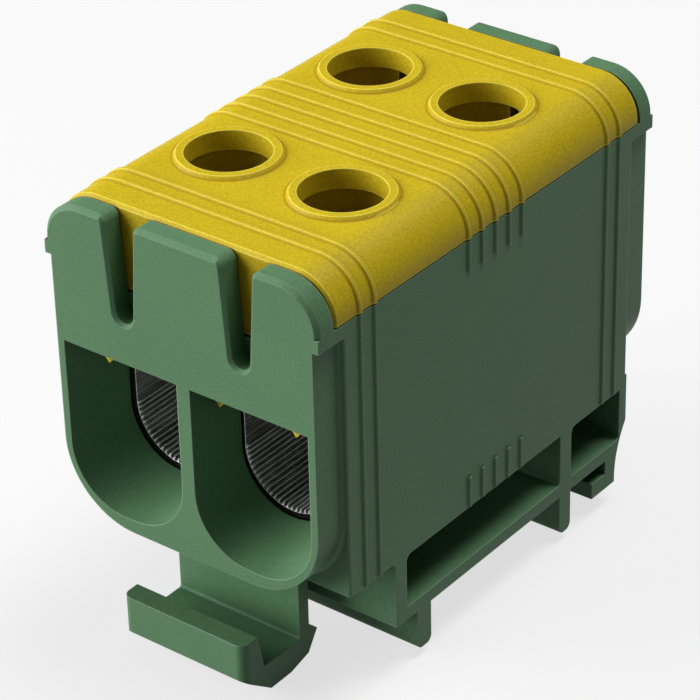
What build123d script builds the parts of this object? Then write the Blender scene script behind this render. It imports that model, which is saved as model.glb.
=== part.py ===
import os

from build123d import *

os.makedirs("parts", exist_ok=True)

# All sizes in millimetres. X runs across the lanes, Y along the wires, Z up.
# z = 0 is the rail seat, y = 0 the middle of the 35 mm rail.

# Rail
rail_width = 35.0
rail_channel = 25.0

# Housing, outside
width = 30.0
length = 50.0
end_depth = 3.35
box_bottom = 7.05
box_edge = 0.25
rim_z = 34.5
band_height = 1.3
end_width = 28.7
end_corner = 7.6
end_root = 0.4

# Housing, tabs that stand in front of the cover
tab_top = 38.8
tab_thickness = 2.1
tab_corner = 4.1
tab_edge = 0.4
slot_x = 6.45
slot_top_width = 3.3
slot_foot_width = 2.0
slot_foot_z = 28.75
slot_corner = 0.8
slot_edge = 0.3

# Housing, inside
box_wall = 1.6
floor_z = 9.2
shoulder_z = 30.7
throat_wall = 0.15

# Lanes and clamps
lane_x = 6.3
clamp_inset = 8.3

# Funnels
mouth_inner_x = 0.73
mouth_width = 12.87
mouth_foot_z = 8.4
mouth_top_z = 24.8
mouth_corner = 5.8
throat_x = 6.45
throat_width = 11.1
throat_foot_z = 10.5
throat_top_z = 21.9
throat_flat = 0.1
throat_depth = 6.25

# Ribs on the cover and the housing sides
rib_pitch = 2.0
rib_inset = 2.25
rib_crest = 0.3
rib_height = 0.2
rib_root = 0.1
short_rib_low_z = 31.4
short_rib_high_z = 10.2

# Base and rail grip
base_front_step = 2.4
base_rear_step = 4.25
base_fillet = 0.5
front_wall = 1.6
bottom_wall = 1.35
rear_wall = 1.15
window_top_z = 6.9
window_corner = 0.7
window_small_corner = 0.3
front_foot_play = 0.5
front_foot_thickness = 2.05
web_play = 0.1
web_thickness = 1.8
foot_depth = 4.3
foot_corner = 0.7
foot_root = 0.6
slot_height = 1.5
slot_play = 0.85
rail_grip = 1.4
lip_thickness = 1.7
lip_corner = 0.4
heel_flat = 1.75
heel_corner = 0.6
heel_start_z = 3.0
heel_r = 10.0

# Rail latch
latch_half_width = 7.0
latch_gap = 0.15
latch_plate = 1.35
latch_bead = 0.9
latch_pivot_z = 7.6
latch_play = 0.05
barb_grip = 1.0
barb_z = -2.5
trough_z = -2.3
trough_length = 5.1
trough_corner = 0.3
latch_foot_z = -5.2
latch_foot_corner = 1.2
pull_lip_depth = 2.8
pull_lip_top_z = 1.3
pull_lip_lean = 0.75
pull_lip_corner = 1.1
pull_lip_edge = 0.9

# Cover
cover_top = 39.0
cover_corner = 4.0
cover_end_edge = 0.3
cover_gap = 0.12
cover_plate = 1.6
cover_inner_corner = 1.0
cover_wall = 1.8
cover_lip = 1.0
cover_lip_depth = 3.0
fit = 0.2
driver_hole_r = 3.95
collar_r = 4.7
collar_slope = 0.3
collar_height = 0.35
chimney_wall = 0.9
chimney_gap = 0.3
chimney_slit = 1.0
hook_offset = 4.2
hook_width = 1.5
hook_thickness = 1.3
hook_point = 0.9
hook_tip_z = 22.4

# Terminal block
block_gap = 0.1
block_height = 19.7
bore_r = 5.1
bore_flat = 0.04
bore_axis_z = 16.15
bore_top_z = 21.3
bore_top_corner = 1.0

# Clamp screws
screw_r = 4.95
screw_play = 0.05
screw_length = 12.0
screw_foot_z = 21.5
screw_point = 1.0
screw_chimney_play = 0.1
socket_width = 5.0
socket_depth = 5.0

# Faces that several pieces share
box_half = length / 2 - end_depth
chamber_x = width / 2 - box_wall
chamber_y = length / 2 - throat_depth - throat_wall
clamp_y = chamber_y - block_gap - clamp_inset
tab_back_y = length / 2 - tab_thickness
cover_end_y = tab_back_y - fit
base_front_y = -rail_width / 2 + base_front_step
base_rear_y = rail_width / 2 + base_rear_step
web_rear_y = rail_channel / 2 - web_play
rib_rows = [-2 * rib_pitch, -rib_pitch, 0, rib_pitch, 2 * rib_pitch]
rib_pairs = [side * (box_half - rib_inset - n * rib_pitch) for side in (-1, 1) for n in (0, 1)]
hook_places = [lane_x - hook_offset, lane_x + hook_offset]
latch_back_y = -rail_width / 2 - latch_gap
latch_front_y = latch_back_y - latch_plate
chimney_r = screw_r + screw_chimney_play


# One wire funnel, as the core that moulds it: a wide mouth with a round foot,
# narrowing to the throat in front of the terminal block
with BuildPart() as funnel_core:
    with BuildSketch(Plane.XZ.offset(length / 2)) as mouth:
        with Locations((mouth_inner_x + mouth_width / 2, mouth_foot_z)):
            Rectangle(mouth_width, mouth_top_z - mouth_foot_z, align=(Align.CENTER, Align.MIN))
        fillet(mouth.vertices().group_by(Axis.Y)[0], mouth_corner)
    with BuildSketch(Plane.XZ.offset(length / 2 - throat_depth)) as throat:
        with Locations((throat_x, throat_foot_z)):
            Rectangle(throat_width, throat_top_z - throat_foot_z, align=(Align.CENTER, Align.MIN))
        fillet(throat.vertices().group_by(Axis.Y)[0], (throat_width - throat_flat) / 2)
    loft()
    extrude(throat.sketch, amount=-1.0)
    mirror(about=Plane.YZ)
    mirror(about=Plane.XZ)

# The three tabs of one end, before they are slotted
with BuildPart() as tabs:
    with BuildSketch(Plane.XZ.offset(length / 2)) as tab_outline:
        with Locations((0, rim_z)):
            Rectangle(width, tab_top - rim_z, align=(Align.CENTER, Align.MIN))
        fillet(tab_outline.vertices().group_by(Axis.Y)[-1], tab_corner)
    extrude(amount=-tab_thickness)
    chamfer(
        tabs.edges()
        .filter_by(lambda e: abs(e.center().Y + length / 2) < 0.01)
        .filter_by(lambda e: e.center().Z > rim_z + 0.1),
        tab_edge,
    )

# The tapered slots of both ends, as one core: rounded at the tab tops, with broken front edges
with BuildPart() as slot_core:
    foot_axis_z = slot_foot_z + slot_foot_width / 2
    with BuildSketch(Plane.XZ.offset(length / 2 - slot_edge)) as slots:
        with Locations((0, tab_top)):
            Rectangle(width + 2, 2, align=(Align.CENTER, Align.MIN))
        for x in (-slot_x, slot_x):
            with Locations((x, foot_axis_z)):
                Circle(slot_foot_width / 2)
            with BuildLine():
                Polyline(
                    (x - slot_foot_width / 2, foot_axis_z),
                    (x + slot_foot_width / 2, foot_axis_z),
                    (x + slot_top_width / 2, tab_top),
                    (x - slot_top_width / 2, tab_top),
                    close=True,
                )
            make_face()
        tab_tips = slots.vertices().filter_by(
            lambda v: abs(v.Y - tab_top) < 0.01 and abs(v.X) < width / 2
        )
        fillet(tab_tips, slot_corner)
    extrude(amount=slot_edge - tab_thickness)
    extrude(slots.sketch, amount=slot_edge, taper=-45)
    mirror(about=Plane.XZ)

# The concave root where an end section meets the box, with its bottom cut level
with BuildPart() as end_root_ring:
    with BuildSketch(Plane.XZ.offset(box_half)) as root_outline:
        with Locations((0, box_bottom - end_root)):
            Rectangle(
                end_width + 2 * end_root,
                rim_z - box_bottom + end_root,
                align=(Align.CENTER, Align.MIN),
            )
        fillet(root_outline.vertices().group_by(Axis.Y)[0], end_corner + end_root)
    extrude(amount=2 * end_root)
    extrude(root_outline.sketch, amount=-end_root)
    ring_edges = end_root_ring.faces().sort_by(Axis.Y)[0].edges()
    chamfer(ring_edges.filter_by(lambda e: e.center().Z < rim_z - 0.01), 2 * end_root)
    split(bisect_by=Plane.XY.offset(box_bottom), keep=Keep.TOP)

# The ribs of one side: full height in pairs, short ones above and below
with BuildPart() as side_ribs:
    rib_spans = [(y, box_bottom, rim_z) for y in rib_pairs]
    rib_spans += [(y, short_rib_low_z, rim_z) for y in rib_rows]
    rib_spans += [(y, box_bottom, short_rib_high_z) for y in rib_rows]
    for y, low_z, high_z in rib_spans:
        with BuildSketch(Plane.XY.offset(low_z)):
            with BuildLine():
                Polyline(
                    (width / 2 - rib_root, y - rib_crest / 2 - rib_height - rib_root),
                    (width / 2 + rib_height, y - rib_crest / 2),
                    (width / 2 + rib_height, y + rib_crest / 2),
                    (width / 2 - rib_root, y + rib_crest / 2 + rib_height + rib_root),
                    close=True,
                )
            make_face()
        extrude(amount=high_z - low_z)

# Housing: one moulding with the chamber, the funnels, the tabs and the rail base
with BuildPart() as housing:
    with BuildSketch(Plane.XY.offset(box_bottom)) as box_plan:
        Rectangle(width, 2 * box_half)
        fillet(box_plan.vertices(), box_edge)
    extrude(amount=rim_z - box_bottom)
    with BuildSketch(Plane.XZ) as end_outline:
        with Locations((0, box_bottom)):
            Rectangle(end_width, rim_z - box_bottom, align=(Align.CENTER, Align.MIN))
        fillet(end_outline.vertices().group_by(Axis.Y)[0], end_corner)
    extrude(amount=length / 2, both=True)
    add(end_root_ring.part)
    mirror(end_root_ring.part, about=Plane.XZ)
    with BuildSketch(Plane.XY.offset(rim_z)):
        Rectangle(width, length)
    extrude(amount=-band_height)

    # rail base, drawn from the side: seat, two feet, rear slot and heel
    base_top_z = (box_bottom + floor_z) / 2
    foot_front_y = -rail_channel / 2 + front_foot_play
    web_front_y = web_rear_y - web_thickness
    rail_lip_y = rail_width / 2 - rail_grip
    rail_lip_z = -slot_height - lip_thickness
    heel_y = base_rear_y - heel_flat
    with BuildSketch(Plane.YZ) as base_outline:
        with BuildLine():
            Polyline(
                (base_front_y, base_top_z),
                (base_front_y, 0),
                (foot_front_y, 0),
                (foot_front_y, -foot_depth),
                (foot_front_y + front_foot_thickness, -foot_depth),
                (foot_front_y + front_foot_thickness, 0),
                (web_front_y, 0),
                (web_front_y, -foot_depth),
                (web_rear_y, -foot_depth),
                (web_rear_y, 0),
                (rail_width / 2 + slot_play, 0),
                (rail_width / 2 + slot_play, -slot_height),
                (rail_lip_y, -slot_height),
                (rail_lip_y, rail_lip_z),
                (heel_y, rail_lip_z),
            )
            RadiusArc((heel_y, rail_lip_z), (base_rear_y, heel_start_z), heel_r)
            Polyline(
                (base_rear_y, heel_start_z),
                (base_rear_y, base_top_z),
                (base_front_y, base_top_z),
            )
        make_face()
        outline = base_outline.vertices()
        fillet(outline.filter_by(lambda v: abs(v.Y + foot_depth) < 0.01), foot_corner)
        roots = outline.filter_by(lambda v: abs(v.Y) < 0.01)
        fillet(roots.filter_by(lambda v: base_front_y < v.X < rail_lip_y), foot_root)
        fillet(outline.filter_by(lambda v: abs(v.X - rail_lip_y) < 0.01), lip_corner)
        fillet(outline.filter_by(lambda v: abs(v.X - heel_y) < 0.01), heel_corner)
    extrude(amount=width / 2, both=True)
    fillet(
        housing.edges()
        .filter_by(Axis.X)
        .filter_by(lambda e: abs(e.center().Y - base_front_y) < 0.01)
        .filter_by(lambda e: abs(e.center().Z - box_bottom) < 0.01),
        base_fillet,
    )
    with BuildSketch(Plane.YZ) as windows:
        for start_y, end_y in (
            (base_front_y + front_wall, web_front_y),
            (web_rear_y, base_rear_y - rear_wall),
        ):
            with Locations(((start_y + end_y) / 2, bottom_wall)):
                Rectangle(
                    end_y - start_y, window_top_z - bottom_wall, align=(Align.CENTER, Align.MIN)
                )
        tops = windows.vertices().group_by(Axis.Y)[-1].sort_by(Axis.X)
        fillet([tops[0], tops[2]], window_corner)
        fillet([tops[1], tops[3]] + windows.vertices().group_by(Axis.Y)[0], window_small_corner)
    extrude(amount=width, both=True, mode=Mode.SUBTRACT)

    # raised ribs on the sides: full height in pairs, short ones above and below
    add(side_ribs.part)
    mirror(side_ribs.part, about=Plane.YZ)

    # chamber for the block, and the wider recess that the cover drops into
    with BuildSketch(Plane.XY.offset(floor_z)):
        Rectangle(2 * chamber_x, 2 * chamber_y)
    extrude(amount=rim_z - floor_z, mode=Mode.SUBTRACT)
    with BuildSketch(Plane.XY.offset(shoulder_z)):
        Rectangle(2 * chamber_x, 2 * tab_back_y)
    extrude(amount=rim_z - shoulder_z, mode=Mode.SUBTRACT)
    add(funnel_core.part, mode=Mode.SUBTRACT)
    hook_depth = hook_thickness + 2 * fit
    with BuildSketch(Plane.XY.offset(shoulder_z)):
        for x in hook_places:
            with Locations((x, -tab_back_y + hook_depth / 2)):
                Rectangle(hook_width + 2 * fit, hook_depth)
        mirror(about=Plane.YZ)
        mirror(about=Plane.XZ)
    extrude(amount=hook_tip_z - fit - shoulder_z, mode=Mode.SUBTRACT)

    # tabs at both ends, with tapered slots between them
    add(tabs.part)
    mirror(tabs.part, about=Plane.XZ)
    add(slot_core.part, mode=Mode.SUBTRACT)
    # seat of the latch bead, open to the underside
    with BuildSketch(Plane.YZ) as bead_seat:
        with Locations(((latch_back_y + latch_front_y) / 2, latch_pivot_z)):
            Circle(latch_bead + latch_play)
            Rectangle(latch_plate + 2 * fit, latch_pivot_z, align=(Align.CENTER, Align.MAX))
    extrude(amount=latch_half_width + fit, both=True, mode=Mode.SUBTRACT)
housing.part.label = "housing"
export_step(housing.part, "parts/housing.step")

# Rail latch: a sprung plate with a barb under the rail edge and a lip to pull
with BuildPart() as rail_latch:
    trough_end_y = latch_front_y - trough_length
    pull_lip_y = trough_end_y - pull_lip_depth
    with BuildSketch(Plane.YZ) as latch_outline:
        with BuildLine():
            Polyline(
                (latch_back_y, latch_pivot_z),
                (latch_back_y, barb_z + barb_grip),
                (latch_back_y + latch_gap + barb_grip, barb_z),
                (latch_back_y - latch_gap, (barb_z + 3 * latch_foot_z) / 4),
                (latch_front_y - latch_plate, latch_foot_z),
                (pull_lip_y + 1.3 * pull_lip_depth, latch_foot_z),
                (pull_lip_y, barb_z),
                (pull_lip_y, pull_lip_top_z),
                (trough_end_y - pull_lip_lean, pull_lip_top_z),
                (trough_end_y, trough_z),
                (latch_front_y, trough_z),
                (latch_front_y, latch_pivot_z),
                close=True,
            )
        make_face()
        corners = latch_outline.vertices()
        fillet(corners.filter_by(lambda v: abs(v.Y - trough_z) < 0.01), trough_corner)
        fillet(corners.filter_by(lambda v: abs(v.Y - latch_foot_z) < 0.01), latch_foot_corner)
        lip_front = corners.filter_by(lambda v: abs(v.X - pull_lip_y) < 0.01)
        fillet(lip_front, pull_lip_corner)
        lip_back = corners.filter_by(lambda v: abs(v.X - trough_end_y + pull_lip_lean) < 0.01)
        fillet(lip_back, pull_lip_corner / 2)
        with Locations(((latch_back_y + latch_front_y) / 2, latch_pivot_z)):
            Circle(latch_bead)
    extrude(amount=latch_half_width, both=True)
    with BuildSketch(Plane.XY.offset(latch_foot_z)) as latch_plan:
        with Locations((0, pull_lip_y)):
            Rectangle(2 * latch_half_width, length / 2, align=(Align.CENTER, Align.MIN))
        fillet(latch_plan.vertices().group_by(Axis.Y)[0], pull_lip_edge)
    extrude(amount=floor_z - latch_foot_z, mode=Mode.INTERSECT)
rail_latch.part.label = "rail_latch"
export_step(rail_latch.part, "parts/rail_latch.step")

# One rib of the cover: a low ridge that follows the top and both rounded edges
with BuildPart() as cover_rib:
    with BuildSketch(Plane.XZ) as rib_outline:
        with Locations((0, rim_z + cover_gap)):
            Rectangle(
                width + 2 * rib_height,
                cover_top + rib_height - rim_z - cover_gap,
                align=(Align.CENTER, Align.MIN),
            )
        fillet(rib_outline.vertices().group_by(Axis.Y)[-1], cover_corner + rib_height)
    extrude(amount=rib_crest / 2 + rib_height + rib_root, both=True)
    rims = cover_rib.faces().filter_by(Axis.Y).edges()
    rims = rims.filter_by(lambda e: e.center().Z > rim_z + cover_gap + 0.01)
    chamfer(rims, rib_height + rib_root - 0.01)

# Cover: one moulding with ribs, four collared screw chimneys and hooked legs
with BuildPart() as cover:
    cover_foot_z = rim_z + cover_gap
    plate_z = cover_top - cover_plate
    with BuildSketch(Plane.XZ) as cover_outline:
        with Locations((0, cover_foot_z)):
            Rectangle(width, cover_top - cover_foot_z, align=(Align.CENTER, Align.MIN))
        fillet(cover_outline.vertices().group_by(Axis.Y)[-1], cover_corner)
    extrude(amount=cover_end_y, both=True)
    chamfer(
        cover.edges()
        .filter_by(lambda e: abs(abs(e.center().Y) - cover_end_y) < 0.01)
        .filter_by(lambda e: e.center().Z > cover_foot_z + 0.1),
        cover_end_edge,
    )
    for y in rib_rows + rib_pairs:
        with Locations((0, y, 0)):
            add(cover_rib.part)

    # skirt inside the housing rim: end walls behind the tabs, a lip along each side
    skirt_x = chamber_x - fit
    with BuildSketch(Plane.XY.offset(cover_foot_z)) as end_walls:
        for side in (-1, 1):
            with Locations((0, side * (cover_end_y - cover_wall / 2))):
                Rectangle(2 * skirt_x, cover_wall)
    extrude(amount=shoulder_z + fit - cover_foot_z)
    with BuildSketch(Plane.XY.offset(cover_foot_z)) as side_lips:
        for side in (-1, 1):
            with Locations((side * (skirt_x - cover_lip / 2), 0)):
                Rectangle(cover_lip, 2 * cover_end_y - cover_wall)
    extrude(amount=-cover_lip_depth)
    cavity_x = skirt_x - cover_lip
    with BuildSketch(Plane.XZ) as cavity:
        with Locations((0, cover_foot_z)):
            Rectangle(2 * cavity_x, plate_z - cover_foot_z, align=(Align.CENTER, Align.MIN))
        chamfer(cavity.vertices().group_by(Axis.Y)[-1], cover_inner_corner)
    extrude(amount=cover_end_y - cover_wall, both=True, mode=Mode.SUBTRACT)

    # collars, chimneys and the stepped screw holes
    clamp_grid = GridLocations(2 * lane_x, 2 * clamp_y, 2, 2)
    with Locations(Plane.XY.offset(cover_top)):
        with GridLocations(2 * lane_x, 2 * clamp_y, 2, 2):
            Cone(
                collar_r + collar_slope,
                collar_r,
                collar_height,
                align=(Align.CENTER, Align.CENTER, Align.MIN),
            )
    chimney_foot_z = floor_z + block_gap + block_height + chimney_gap
    with BuildSketch(Plane.XY.offset(chimney_foot_z)):
        with clamp_grid:
            RegularPolygon(chimney_r + chimney_wall, 8, major_radius=False, rotation=22.5)
    extrude(amount=plate_z - chimney_foot_z + cover_plate / 2)
    with BuildSketch(Plane.XY.offset(chimney_foot_z)) as chimney_bores:
        with clamp_grid:
            Circle(chimney_r)
        for side in (-1, 1):
            with Locations(*[(x, side * clamp_y) for x in (-lane_x, lane_x)]):
                Rectangle(
                    chimney_slit,
                    chimney_r + 1.2 * chimney_wall,
                    align=(Align.CENTER, Align.MIN if side > 0 else Align.MAX),
                )
    extrude(amount=plate_z - chimney_foot_z, mode=Mode.SUBTRACT)
    with BuildSketch(Plane.XY.offset(plate_z)):
        with clamp_grid:
            Circle(driver_hole_r)
    extrude(amount=cover_plate + collar_height, mode=Mode.SUBTRACT)

    # hooked legs in the end walls, with pointed tips above the funnels
    with BuildSketch(Plane.XZ.offset(cover_end_y)) as hooks:
        for x in hook_places:
            with BuildLine():
                Polyline(
                    (x - hook_width / 2, shoulder_z + 1),
                    (x - hook_width / 2, hook_tip_z + hook_point),
                    (x, hook_tip_z),
                    (x + hook_width / 2, hook_tip_z + hook_point),
                    (x + hook_width / 2, shoulder_z + 1),
                    close=True,
                )
            make_face()
        mirror(about=Plane.YZ)
    extrude(amount=-hook_thickness)
    mirror(about=Plane.XZ)
cover.part.label = "cover"
export_step(cover.part, "parts/cover.step")

# Terminal block: an extrusion with two wire bores, drilled for four screws
with BuildPart() as terminal_block:
    with BuildSketch(Plane.XZ) as block_outline:
        with Locations((0, floor_z + block_gap)):
            Rectangle(2 * (chamber_x - block_gap), block_height, align=(Align.CENTER, Align.MIN))
        for x in (-lane_x, lane_x):
            with Locations((x, bore_axis_z - bore_r)):
                Rectangle(
                    2 * bore_r,
                    bore_top_z - bore_axis_z + bore_r,
                    align=(Align.CENTER, Align.MIN),
                    mode=Mode.SUBTRACT,
                )
        inner = block_outline.vertices().filter_by(lambda v: abs(v.X) < lane_x + bore_r + 0.01)
        fillet(inner.group_by(Axis.Y)[0], bore_r - bore_flat / 2)
        fillet(inner.group_by(Axis.Y)[-1], bore_top_corner)
    extrude(amount=chamber_y - block_gap, both=True)
    with Locations(Plane.XY.offset(floor_z + block_gap + block_height)):
        with GridLocations(2 * lane_x, 2 * clamp_y, 2, 2):
            Hole(screw_r + screw_play, depth=floor_z + block_gap + block_height - bore_axis_z)
terminal_block.part.label = "terminal_block"
export_step(terminal_block.part, "parts/terminal_block.step")

# Clamp screws: headless, with a hexagon socket, held in by the chimney steps
clamp_corners = {
    "front_left": (-lane_x, -clamp_y),
    "front_right": (lane_x, -clamp_y),
    "back_left": (-lane_x, clamp_y),
    "back_right": (lane_x, clamp_y),
}
for corner, (x, y) in clamp_corners.items():
    with BuildPart(Plane((x, y, screw_foot_z))) as clamp_screw:
        Cylinder(screw_r, screw_length, align=(Align.CENTER, Align.CENTER, Align.MIN))
        chamfer(clamp_screw.edges().group_by(Axis.Z)[0], screw_point)
        with BuildSketch(Plane((x, y, screw_foot_z + screw_length))):
            RegularPolygon(socket_width / 2, 6, major_radius=False)
        extrude(amount=-socket_depth, mode=Mode.SUBTRACT)
    clamp_screw.part.label = f"clamp_screw_{corner}"
    export_step(clamp_screw.part, f"parts/clamp_screw_{corner}.step")
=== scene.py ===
import math

import bmesh
import bpy
from mathutils import Matrix, Vector


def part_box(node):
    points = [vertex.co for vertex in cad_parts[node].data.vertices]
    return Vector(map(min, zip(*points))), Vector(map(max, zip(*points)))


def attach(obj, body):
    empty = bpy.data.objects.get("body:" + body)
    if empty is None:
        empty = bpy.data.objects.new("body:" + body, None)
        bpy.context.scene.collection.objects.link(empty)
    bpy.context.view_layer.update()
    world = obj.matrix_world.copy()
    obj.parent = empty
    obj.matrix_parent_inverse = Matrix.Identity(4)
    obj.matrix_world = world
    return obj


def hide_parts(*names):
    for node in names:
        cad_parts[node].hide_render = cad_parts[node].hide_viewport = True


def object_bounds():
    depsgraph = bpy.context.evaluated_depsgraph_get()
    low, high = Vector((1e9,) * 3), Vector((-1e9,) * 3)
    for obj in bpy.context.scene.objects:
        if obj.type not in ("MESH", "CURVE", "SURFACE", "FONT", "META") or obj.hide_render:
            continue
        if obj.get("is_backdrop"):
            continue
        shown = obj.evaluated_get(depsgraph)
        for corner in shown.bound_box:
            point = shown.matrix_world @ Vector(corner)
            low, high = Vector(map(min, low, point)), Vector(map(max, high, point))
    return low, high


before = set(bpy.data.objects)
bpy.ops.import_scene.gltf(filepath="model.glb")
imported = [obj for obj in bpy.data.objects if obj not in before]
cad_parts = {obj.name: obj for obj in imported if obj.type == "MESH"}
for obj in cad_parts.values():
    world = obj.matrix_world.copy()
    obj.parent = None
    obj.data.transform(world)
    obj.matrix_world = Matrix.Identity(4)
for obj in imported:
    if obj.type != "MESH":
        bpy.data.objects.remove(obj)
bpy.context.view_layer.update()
print("frame loaded:", len(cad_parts), "nodes")

scene = bpy.context.scene
mm = 0.001
white = (1.0, 1.0, 1.0, 1)


def newMesh(name, bm):
    bmesh.ops.recalc_face_normals(bm, faces=bm.faces)
    mesh = bpy.data.meshes.new(name)
    bm.to_mesh(mesh)
    bm.free()
    mesh.shade_flat()
    obj = bpy.data.objects.new(name, mesh)
    scene.collection.objects.link(obj)
    return obj


def bridgeRings(bm, lower, upper):
    # a closed band of four-sided faces between two rings of vertices
    walls = []
    for i in range(len(lower)):
        j = (i + 1) % len(lower)
        walls.append(bm.faces.new((lower[i], lower[j], upper[j], upper[i])))
    return walls


def ringEdges(bm, ring):
    return [bm.edges.get((ring[i], ring[(i + 1) % len(ring)])) for i in range(len(ring))]


def addNode(tree, kind, **values):
    node = tree.nodes.new(kind)
    for key, value in values.items():
        if hasattr(node, key):
            setattr(node, key, value)
        else:
            node.inputs[key.replace("_", " ")].default_value = value
    return node


def feed(tree, socket, value):
    # a socket takes the output of another node or a plain value
    if isinstance(value, bpy.types.NodeSocket):
        tree.links.new(value, socket)
    else:
        socket.default_value = value


def addMath(tree, operation, *values, clamp=False):
    node = addNode(tree, "ShaderNodeMath", operation=operation, use_clamp=clamp)
    for socket, value in zip(node.inputs, values):
        feed(tree, socket, value)
    return node.outputs[0]


def mixColors(tree, mask, first, second):
    node = addNode(tree, "ShaderNodeMix", data_type="RGBA")
    feed(tree, node.inputs[0], mask)
    feed(tree, node.inputs[6], first)
    feed(tree, node.inputs[7], second)
    return node.outputs[2]


def mixShaders(tree, mask, first, second):
    node = addNode(tree, "ShaderNodeMixShader")
    for socket, value in zip(node.inputs, (mask, first, second)):
        feed(tree, socket, value)
    return node.outputs[0]


def newGroup(name, inputs, outputs):
    group = bpy.data.node_groups.new(name, "ShaderNodeTree")
    for label, kind, value in inputs:
        socket = group.interface.new_socket(label, in_out="INPUT", socket_type=kind)
        socket.default_value = value
    for label, kind in outputs:
        group.interface.new_socket(label, in_out="OUTPUT", socket_type=kind)
    entry = group.nodes.new("NodeGroupInput")
    leave = group.nodes.new("NodeGroupOutput")
    return group, entry.outputs, leave.inputs


def placeGroup(tree, group, **values):
    node = tree.nodes.new("ShaderNodeGroup")
    node.node_tree = group
    for key, value in values.items():
        node.inputs[key.replace("_", " ")].default_value = value
    return node


def newMaterial(name):
    mat = bpy.data.materials.new(name)
    mat.use_nodes = True
    return mat, mat.node_tree, mat.node_tree.nodes["Principled BSDF"]


def bumpSkin(tree, shader, height, normal, s):
    bump = addNode(tree, "ShaderNodeBump", Strength=s["bump"], Distance=s["bumpHeight"])
    feed(tree, bump.inputs["Height"], height)
    feed(tree, bump.inputs["Normal"], normal)
    feed(tree, shader.inputs["Normal"], bump.outputs["Normal"])


effects = {
    "noiseMiddle": 0.5,
    "grainDetail": 2.0,
    "grainRoughness": 0.6,
    "cloudScale": 90.0,
    "cloudDetail": 3.0,
    "grainContrast": 4.0,
    "bevelSamples": 6,
    "shadeSamples": 8,
    "streakDetail": 4.0,
    "streakRoughness": 0.65,
    "streakRange": (0.4, 0.62),
}


def buildMouldGrain(s):
    # fine spark-eroded grain: a little colour speckle and a height for a bump
    group, given, result = newGroup(
        "mouldGrain",
        [
            ("Color", "NodeSocketColor", (0.5, 0.5, 0.5, 1)),
            ("Grain Scale", "NodeSocketFloat", 4200.0),
            ("Speckle", "NodeSocketFloat", 0.12),
            ("Cloud", "NodeSocketFloat", 0.05),
        ],
        [("Color", "NodeSocketColor"), ("Height", "NodeSocketFloat")],
    )
    coords = addNode(group, "ShaderNodeTexCoord")
    fine = addNode(
        group, "ShaderNodeTexNoise", Detail=s["grainDetail"], Roughness=s["grainRoughness"]
    )
    wide = addNode(group, "ShaderNodeTexNoise", Scale=s["cloudScale"], Detail=s["cloudDetail"])
    for noise in (fine, wide):
        feed(group, noise.inputs["Vector"], coords.outputs["Object"])
    feed(group, fine.inputs["Scale"], given["Grain Scale"])
    fineSpread = addMath(group, "SUBTRACT", fine.outputs["Fac"], s["noiseMiddle"])
    fineShade = addMath(group, "MULTIPLY", fineSpread, given["Speckle"])
    wideSpread = addMath(group, "SUBTRACT", wide.outputs["Fac"], s["noiseMiddle"])
    bothShades = addMath(group, "MULTIPLY_ADD", wideSpread, given["Cloud"], fineShade)
    shade = addMath(group, "MULTIPLY_ADD", bothShades, s["grainContrast"], 1.0)
    tint = addNode(group, "ShaderNodeVectorMath", operation="SCALE")
    feed(group, tint.inputs[0], given["Color"])
    feed(group, tint.inputs["Scale"], shade)
    feed(group, result["Color"], tint.outputs[0])
    feed(group, result["Height"], fine.outputs["Fac"])
    return group


def buildEdgeHighlightAndRounding(s):
    # where two faces meet: a mask for a painted highlight line, and the normal of the small
    # rounding
    group, given, result = newGroup(
        "edgeHighlightAndRounding",
        [("Radius", "NodeSocketFloat", 0.00015), ("Amount", "NodeSocketFloat", 1.0)],
        [("Mask", "NodeSocketFloat"), ("Normal", "NodeSocketVector")],
    )
    rounding = addNode(group, "ShaderNodeBevel", samples=s["bevelSamples"])
    feed(group, rounding.inputs["Radius"], given["Radius"])
    flat = addNode(group, "ShaderNodeNewGeometry")
    same = addNode(group, "ShaderNodeVectorMath", operation="DOT_PRODUCT")
    feed(group, same.inputs[0], rounding.outputs[0])
    feed(group, same.inputs[1], flat.outputs["Normal"])
    turned = addMath(group, "SUBTRACT", 1.0, same.outputs["Value"])
    mask = addMath(group, "MULTIPLY", turned, given["Amount"], clamp=True)
    feed(group, result["Mask"], mask)
    feed(group, result["Normal"], rounding.outputs[0])
    return group


def buildCreaseShade(s):
    # painted shade at the feet of ribs and steps, and a mask for painted highlights on the
    # crests and corners that stand proud
    group, given, result = newGroup(
        "creaseShade",
        [("Reach", "NodeSocketFloat", 0.00028), ("Gain", "NodeSocketFloat", 5.0)],
        [("Crease", "NodeSocketFloat"), ("Proud", "NodeSocketFloat")],
    )
    outer = addNode(group, "ShaderNodeAmbientOcclusion", samples=s["shadeSamples"])
    inner = addNode(group, "ShaderNodeAmbientOcclusion", samples=s["shadeSamples"], inside=True)
    for side in (outer, inner):
        feed(group, side.inputs["Distance"], given["Reach"])
    for label, first, second in (("Crease", inner, outer), ("Proud", outer, inner)):
        apart = addMath(group, "SUBTRACT", first.outputs["AO"], second.outputs["AO"])
        mask = addMath(group, "MULTIPLY", apart, given["Gain"], clamp=True)
        feed(group, result[label], mask)
    return group


def buildHollowShade(s):
    # painted shade in slots, holes and other hollows, where the colour is made deeper
    group, given, result = newGroup(
        "hollowShade",
        [
            ("Reach", "NodeSocketFloat", 0.003),
            ("Deep", "NodeSocketFloat", 0.3),
            ("Open", "NodeSocketFloat", 0.9),
        ],
        [("Mask", "NodeSocketFloat")],
    )
    hollow = addNode(group, "ShaderNodeAmbientOcclusion", samples=s["shadeSamples"])
    feed(group, hollow.inputs["Distance"], given["Reach"])
    spread = addNode(group, "ShaderNodeMapRange", To_Min=1.0, To_Max=0.0)
    feed(group, spread.inputs["Value"], hollow.outputs["AO"])
    feed(group, spread.inputs["From Min"], given["Deep"])
    feed(group, spread.inputs["From Max"], given["Open"])
    feed(group, result["Mask"], spread.outputs["Result"])
    return group


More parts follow.
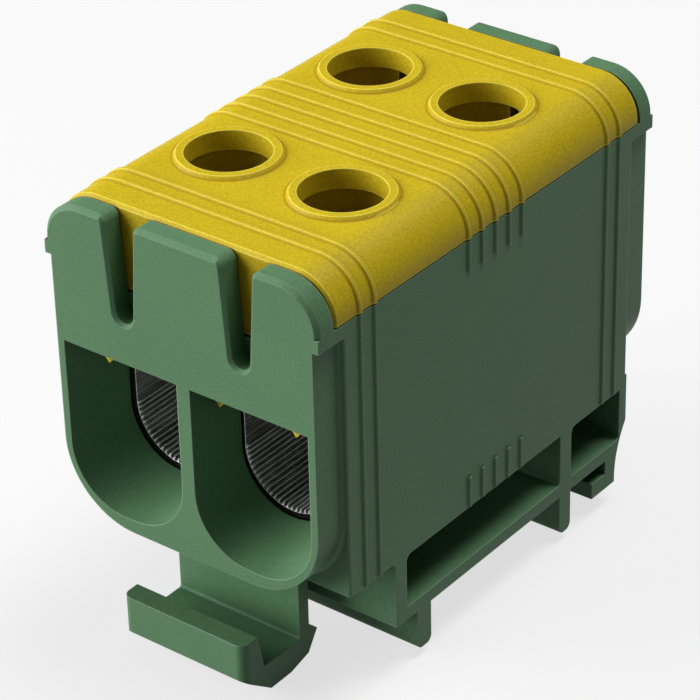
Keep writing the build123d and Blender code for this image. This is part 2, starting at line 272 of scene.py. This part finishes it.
def buildDrawnMetal(s):
    # streaks along the wires, as on drawn or extruded metal; on the groove crests the pale
    # streaks are painted glints
    group, given, result = newGroup(
        "drawnMetal",
        [
            ("Color", "NodeSocketColor", (0.5, 0.5, 0.5, 1)),
            ("Dark Color", "NodeSocketColor", (0.1, 0.1, 0.1, 1)),
            ("Streak Scale", "NodeSocketFloat", 4000.0),
            ("Streak Length", "NodeSocketFloat", 0.05),
        ],
        [("Color", "NodeSocketColor"), ("Height", "NodeSocketFloat")],
    )
    coords = addNode(group, "ShaderNodeTexCoord")
    squeeze = addNode(group, "ShaderNodeCombineXYZ", X=1.0, Z=1.0)
    feed(group, squeeze.inputs["Y"], given["Streak Length"])
    drawn = addNode(group, "ShaderNodeVectorMath", operation="MULTIPLY")
    feed(group, drawn.inputs[0], coords.outputs["Object"])
    feed(group, drawn.inputs[1], squeeze.outputs[0])
    streaks = addNode(
        group, "ShaderNodeTexNoise", Detail=s["streakDetail"], Roughness=s["streakRoughness"]
    )
    feed(group, streaks.inputs["Vector"], drawn.outputs[0])
    feed(group, streaks.inputs["Scale"], given["Streak Scale"])
    low, high = s["streakRange"]
    sharpen = addNode(group, "ShaderNodeMapRange", From_Min=low, From_Max=high)
    feed(group, sharpen.inputs["Value"], streaks.outputs["Fac"])
    mixed = mixColors(group, sharpen.outputs["Result"], given["Dark Color"], given["Color"])
    feed(group, result["Color"], mixed)
    feed(group, result["Height"], streaks.outputs["Fac"])
    return group


mouldGrain = buildMouldGrain(effects)
edgeHighlightAndRounding = buildEdgeHighlightAndRounding(effects)
creaseShade = buildCreaseShade(effects)
hollowShade = buildHollowShade(effects)
drawnMetal = buildDrawnMetal(effects)
print("shared effects ready")

greenPlastic = {
    "color": (0.115, 0.245, 0.122, 1),
    "highlightColor": (0.27, 0.41, 0.28, 1),
    "creaseShadeColor": (0.035, 0.105, 0.05, 1),
    "hollowShadeColor": (0.05, 0.13, 0.06, 1),
    "roughness": 0.5,
    "gloss": 0.22,
    "grainScale": 4200.0,
    "speckle": 0.17,
    "bump": 0.2,
    "bumpHeight": 0.00006,
    "edgeRadius": 0.00014,
    "edgeAmount": 200.0,
    "creaseReach": 0.00028,
    "creaseGain": 2.2,
    "hollowReach": 0.003,
}
yellowPlastic = {
    "color": (0.66, 0.49, 0.012, 1),
    "highlightColor": (1.0, 0.86, 0.12, 1),
    "creaseShadeColor": (0.43, 0.28, 0.004, 1),
    "hollowShadeColor": (0.3, 0.16, 0.002, 1),
    "roughness": 0.48,
    "gloss": 0.22,
    "grainScale": 4200.0,
    "speckle": 0.19,
    "bump": 0.25,
    "bumpHeight": 0.00006,
    "edgeRadius": 0.00015,
    "edgeAmount": 400.0,
    "creaseReach": 0.00028,
    "creaseGain": 9.0,
    "hollowReach": 0.003,
}


def mouldedPlastic(name, s):
    mat, tree, shader = newMaterial(name)
    grain = placeGroup(
        tree, mouldGrain, Color=s["color"], Grain_Scale=s["grainScale"], Speckle=s["speckle"]
    )
    highlightAndRounding = placeGroup(tree, edgeHighlightAndRounding, Radius=s["edgeRadius"], Amount=s["edgeAmount"])
    crease = placeGroup(tree, creaseShade, Reach=s["creaseReach"], Gain=s["creaseGain"])
    hollow = placeGroup(tree, hollowShade, Reach=s["hollowReach"])
    # pale colour on proud edges and rib crests: a painted highlight
    proudHighlight = addMath(tree, "MULTIPLY", highlightAndRounding.outputs["Mask"], crease.outputs["Proud"])
    # painted shade in the hollows
    skin = mixColors(tree, hollow.outputs["Mask"], grain.outputs["Color"], s["hollowShadeColor"])
    # painted shade in the creases
    skin = mixColors(tree, crease.outputs["Crease"], skin, s["creaseShadeColor"])
    skin = mixColors(tree, proudHighlight, skin, s["highlightColor"])
    feed(tree, shader.inputs["Base Color"], skin)
    bumpSkin(tree, shader, grain.outputs["Height"], highlightAndRounding.outputs["Normal"], s)
    shader.inputs["Roughness"].default_value = s["roughness"]
    shader.inputs["Specular IOR Level"].default_value = s["gloss"]
    return mat


def dress(nodeName, mat):
    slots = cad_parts[nodeName].data.materials
    if not len(slots):
        slots.append(mat)
    for i in range(len(slots)):
        slots[i] = mat


greenMaterial = mouldedPlastic("greenPlastic", greenPlastic)
yellowMaterial = mouldedPlastic("yellowPlastic", yellowPlastic)
dress("housing", greenMaterial)
dress("rail_latch", greenMaterial)
dress("cover", yellowMaterial)
print("plastics dressed")

blockMetal = {
    "color": (0.9, 0.89, 0.88, 1),
    "darkColor": (0.34, 0.34, 0.34, 1),
    "squareFaceShade": (0.03, 0.03, 0.03, 1),
    "endFaceTurn": 0.9,
    "highlightColor": white,
    "edgeRadius": 0.0001,
    "edgeAmount": 3.0,
    "metallic": 1.0,
    "roughness": 0.36,
    "streakScale": 5200.0,
    "streakLength": 0.03,
    "bump": 0.3,
    "bumpHeight": 0.00005,
}
# the crest faces of the bore grooves: pale and barely metallic, a painted glint
paintedCrestGlint = {
    "color": white,
    "darkColor": (0.75, 0.75, 0.75, 1),
    "squareFaceShade": (0.03, 0.03, 0.03, 1),
    "endFaceTurn": 0.9,
    "highlightColor": white,
    "edgeRadius": 0.0001,
    "edgeAmount": 3.0,
    "metallic": 0.05,
    "roughness": 0.3,
    "streakScale": 3200.0,
    "streakLength": 0.2,
    "bump": 0.6,
    "bumpHeight": 0.0001,
}
screwSteel = {
    "color": (0.45, 0.44, 0.42, 1),
    "darkColor": (0.18, 0.18, 0.18, 1),
    "squareFaceShade": (0.3, 0.3, 0.29, 1),
    "endFaceTurn": 0.9,
    "highlightColor": white,
    "edgeRadius": 0.0001,
    "edgeAmount": 1.0,
    "metallic": 1.0,
    "roughness": 0.38,
    "streakScale": 2600.0,
    "streakLength": 0.4,
    "bump": 0.25,
    "bumpHeight": 0.00005,
}


def bareMetal(name, s):
    mat, tree, shader = newMaterial(name)
    drawn = placeGroup(
        tree,
        drawnMetal,
        Color=s["color"],
        Dark_Color=s["darkColor"],
        Streak_Scale=s["streakScale"],
        Streak_Length=s["streakLength"],
    )
    highlightAndRounding = placeGroup(tree, edgeHighlightAndRounding, Radius=s["edgeRadius"], Amount=s["edgeAmount"])
    # a painted highlight along the edges
    skin = mixColors(tree, highlightAndRounding.outputs["Mask"], drawn.outputs["Color"], s["highlightColor"])
    # faces square to the wires get a painted shade, near black on the block's recessed end face
    coords = addNode(tree, "ShaderNodeTexCoord")
    split = addNode(tree, "ShaderNodeSeparateXYZ")
    feed(tree, split.inputs[0], coords.outputs["Normal"])
    square = addMath(tree, "ABSOLUTE", split.outputs["Y"])
    shadedSquareFace = addMath(tree, "GREATER_THAN", square, s["endFaceTurn"])
    skin = mixColors(tree, shadedSquareFace, skin, s["squareFaceShade"])
    feed(tree, shader.inputs["Base Color"], skin)
    bumpSkin(tree, shader, drawn.outputs["Height"], highlightAndRounding.outputs["Normal"], s)
    shader.inputs["Metallic"].default_value = s["metallic"]
    shader.inputs["Roughness"].default_value = s["roughness"]
    return mat


blockMaterial = bareMetal("blockMetal", blockMetal)
paintedGlintMaterial = bareMetal("paintedCrestGlint", paintedCrestGlint)
screwMaterial = bareMetal("screwSteel", screwSteel)
dress("terminal_block", blockMaterial)

# grooved skin of each wire bore; a groove's profile is pairs of its share of the pitch and of
# the depth, and the face after point crestFace is its crest, painted bright as a stand-in for
# glints
boreGrooves = {
    "laneX": 6.3,
    "axisZ": 16.15,
    "boreR": 5.1,
    "boreFit": 0.01,
    "topZ": 20.4,
    "groovePitch": 5.6,
    "grooveDepth": 0.24,
    "grooveProfile": ((0.0, 0.0), (0.3, 1.0), (0.55, 1.0), (0.85, 0.0)),
    "crestFace": 2,
    "outerSteps": 24,
    "endGap": 0.02,
    "endChamfer": 0.24,
    "skin": 0.12,
}


def makeBoreGrooves(name, laneX, s):
    blockLow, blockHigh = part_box("terminal_block")
    innerR = s["boreR"] - s["boreFit"]
    outerR = s["boreR"] + s["skin"]
    topZ = s["topZ"] - s["axisZ"]
    count = int(180 / s["groovePitch"])
    step = 180 / count
    profile = [(innerR, topZ)]
    for i in range(count):
        start = math.radians(-i * step)
        for part, depth in s["grooveProfile"]:
            angle = start - math.radians(step) * part
            r = innerR - depth * s["grooveDepth"]
            profile.append((r * math.cos(angle), r * math.sin(angle)))
    profile += [(-innerR, 0.0), (-innerR, topZ)]
    outer = [(-outerR, topZ), (-outerR, 0.0)]
    for i in range(1, s["outerSteps"]):
        angle = math.radians(180 + i * 180 / s["outerSteps"])
        outer.append((outerR * math.cos(angle), outerR * math.sin(angle)))
    outer += [(outerR, 0.0), (outerR, topZ)]
    mouth = []
    for x, z in profile:
        reach = innerR / (math.hypot(x, z) if z < 0 else abs(x))
        mouth.append((x * reach, z * reach if z < 0 else z))
    frontY = blockLow.y + s["endGap"] * mm
    backY = blockHigh.y - s["endGap"] * mm
    chamfer = s["endChamfer"] * mm
    bm = bmesh.new()
    rings = []
    for y, inside in (
        (frontY, mouth),
        (frontY + chamfer, profile),
        (backY - chamfer, profile),
        (backY, mouth),
    ):
        points = [((laneX + x) * mm, y, (s["axisZ"] + z) * mm) for x, z in inside + outer]
        rings.append([bm.verts.new(point) for point in points])
    perGroove = len(s["grooveProfile"])
    for lower, upper in zip(rings, rings[1:]):
        for i, wall in enumerate(bridgeRings(bm, lower, upper)):
            if i < perGroove * count and i % perGroove == s["crestFace"]:
                wall.material_index = 1
    for ring in (rings[0], rings[-1]):
        bmesh.ops.triangle_fill(bm, edges=ringEdges(bm, ring), use_beauty=False)
    obj = newMesh(name, bm)
    obj.data.materials.append(blockMaterial)
    obj.data.materials.append(paintedGlintMaterial)
    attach(obj, "terminal")


makeBoreGrooves("boreGroovesLeft", -boreGrooves["laneX"], boreGrooves)
makeBoreGrooves("boreGroovesRight", boreGrooves["laneX"], boreGrooves)
print("wire bores grooved")

# clamp screws with a real thread and a hexagon socket
clampScrew = {
    "threadPitch": 1.5,
    "threadDepth": 0.75,
    "flankSlope": 2.6,
    "footChamfer": 1.0,
    "headChamfer": 0.5,
    "socketWidth": 5.0,
    "socketDepth": 5.0,
    "pointsAround": 48,
    "ringsPerPitch": 8,
}


def makeClampScrew(name, node, body, s):
    low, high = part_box(node)
    middle = (low + high) / 2
    majorR = (high.x - low.x) / 2
    length = high.z - low.z
    pitch = s["threadPitch"] * mm
    ringCount = int(length / pitch * s["ringsPerPitch"])
    bm = bmesh.new()

    def addPoint(r, angle, z):
        x = middle.x + r * math.cos(angle)
        return bm.verts.new((x, middle.y + r * math.sin(angle), z))

    rings = []
    for k in range(ringCount + 1):
        rise = length * k / ringCount
        ring = []
        for i in range(s["pointsAround"]):
            angle = 2 * math.pi * i / s["pointsAround"]
            phase = (rise / pitch - angle / (2 * math.pi)) % 1.0
            flank = min(1.0, abs(phase - 0.5) * s["flankSlope"])
            r = min(
                majorR - flank * s["threadDepth"] * mm,
                majorR - s["footChamfer"] * mm + rise,
                majorR - s["headChamfer"] * mm + length - rise,
            )
            ring.append(addPoint(r, angle, low.z + rise))
        rings.append(ring)
    for lower, upper in zip(rings, rings[1:]):
        bridgeRings(bm, lower, upper)
    bm.faces.new(rings[0])
    cornerR = s["socketWidth"] / 2 / math.cos(math.pi / 6) * mm
    top, bottom = (
        [addPoint(cornerR, math.pi / 3 * i, z) for i in range(6)]
        for z in (high.z, high.z - s["socketDepth"] * mm)
    )
    bridgeRings(bm, top, bottom)
    bm.faces.new(bottom)
    rim = ringEdges(bm, rings[-1]) + ringEdges(bm, top)
    bmesh.ops.triangle_fill(bm, edges=rim, use_beauty=True)
    obj = newMesh(name, bm)
    obj.data.materials.append(screwMaterial)
    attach(obj, body)
    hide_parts(node)


for corner in ("front_left", "front_right", "back_left", "back_right"):
    front, side = corner.split("_")
    makeClampScrew(
        "threadedScrew" + front.title() + side.title(),
        "clamp_screw_" + corner,
        "screw_" + corner,
        clampScrew,
    )
print("clamp screws threaded")

studio = {
    "floorSize": 3.0,
    "floorColor": (0.2, 0.2, 0.2, 1),
    "seenFloorColor": (0.85, 0.85, 0.85, 1),
    "whiteShare": 0.7,
    "worldLight": 0.07,
    "lampTarget": (0.0, 0.0, 0.02),
    "keyDirection": (-50, 18),
    "keyDistance": 0.7,
    "keySize": (0.7, 0.5),
    "keyPower": 6.3,
    "topDirection": (150, 72),
    "topDistance": 0.7,
    "topSize": (0.31, 0.31),
    "topPower": 3.3,
}


def makeFloor(s):
    low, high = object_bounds()
    half = s["floorSize"] / 2
    corners = ((-half, -half), (half, -half), (half, half), (-half, half))
    bm = bmesh.new()
    bm.faces.new([bm.verts.new((x, y, low.z)) for x, y in corners])
    obj = newMesh("studioFloor", bm)
    mat = bpy.data.materials.new("paleFloor")
    mat.use_nodes = True
    tree = mat.node_tree
    tree.nodes.clear()
    paper = addNode(tree, "ShaderNodeBsdfDiffuse", Color=s["floorColor"])
    seenPaper = addNode(tree, "ShaderNodeBsdfDiffuse", Color=s["seenFloorColor"])
    glow = addNode(tree, "ShaderNodeEmission", Color=white)
    path = addNode(tree, "ShaderNodeLightPath")
    # the camera and reflections see a nearly white floor that still takes the shadow
    seen = addMath(tree, "MAXIMUM", path.outputs["Is Camera Ray"], path.outputs["Is Glossy Ray"])
    pale = mixShaders(tree, s["whiteShare"], seenPaper.outputs[0], glow.outputs[0])
    surface = mixShaders(tree, seen, paper.outputs[0], pale)
    leave = addNode(tree, "ShaderNodeOutputMaterial")
    feed(tree, leave.inputs["Surface"], surface)
    obj.data.materials.append(mat)
    obj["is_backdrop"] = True


def lightWorld(s):
    # a dim soft fill, with a white ground behind the object
    world = bpy.data.worlds.new("studioWorld")
    scene.world = world
    world.use_nodes = True
    tree = world.node_tree
    base = tree.nodes["Background"]
    base.inputs["Color"].default_value = white
    base.inputs["Strength"].default_value = s["worldLight"]
    ground = addNode(tree, "ShaderNodeBackground", Color=white)
    path = addNode(tree, "ShaderNodeLightPath")
    surface = mixShaders(tree, path.outputs["Is Camera Ray"], base.outputs[0], ground.outputs[0])
    feed(tree, tree.nodes["World Output"].inputs["Surface"], surface)


def directionFrom(azimuth, elevation):
    a, e = math.radians(azimuth), math.radians(elevation)
    return Vector((math.sin(a) * math.cos(e), -math.cos(a) * math.cos(e), math.sin(e)))


def addLamp(label, s):
    lamp = bpy.data.lights.new(label + "Lamp", "AREA")
    lamp.shape = "RECTANGLE"
    lamp.size, lamp.size_y = s[label + "Size"]
    lamp.energy = s[label + "Power"]
    obj = bpy.data.objects.new(label + "Lamp", lamp)
    scene.collection.objects.link(obj)
    back = directionFrom(*s[label + "Direction"])
    obj.location = Vector(s["lampTarget"]) + back * s[label + "Distance"]
    obj.rotation_euler = back.to_track_quat("Z", "Y").to_euler()
    obj.visible_camera = False


makeFloor(studio)
lightWorld(studio)
addLamp("key", studio)
addLamp("top", studio)

photoCamera = {
    "azimuth": 38.275,
    "elevation": 31.07,
    "roll": -1.455,
    "focal": 3160.0,
    "pictureSize": 700.0,
    "sensorWidth": 36.0,
    "distance": 292.1,
    "target": (-1.42, 0.0, 15.75),
    "clip": (0.01, 10.0),
}


def placeCamera(s):
    data = bpy.data.cameras.new("photoCamera")
    data.sensor_width = s["sensorWidth"]
    data.lens = s["focal"] * s["sensorWidth"] / s["pictureSize"]
    data.clip_start, data.clip_end = s["clip"]
    obj = bpy.data.objects.new("photoCamera", data)
    scene.collection.objects.link(obj)
    back = directionFrom(s["azimuth"], s["elevation"])
    right = Vector((0, 0, 1)).cross(back).normalized()
    up = back.cross(right)
    roll = math.radians(s["roll"])
    rightRolled = math.cos(roll) * right + math.sin(roll) * up
    upRolled = -math.sin(roll) * right + math.cos(roll) * up
    turn = Matrix((rightRolled, upRolled, back)).transposed()
    place = (Vector(s["target"]) + back * s["distance"]) * mm
    obj.matrix_world = Matrix.Translation(place) @ turn.to_4x4()
    scene.camera = obj


placeCamera(photoCamera)
scene.view_settings.view_transform = "Standard"
print("studio ready")
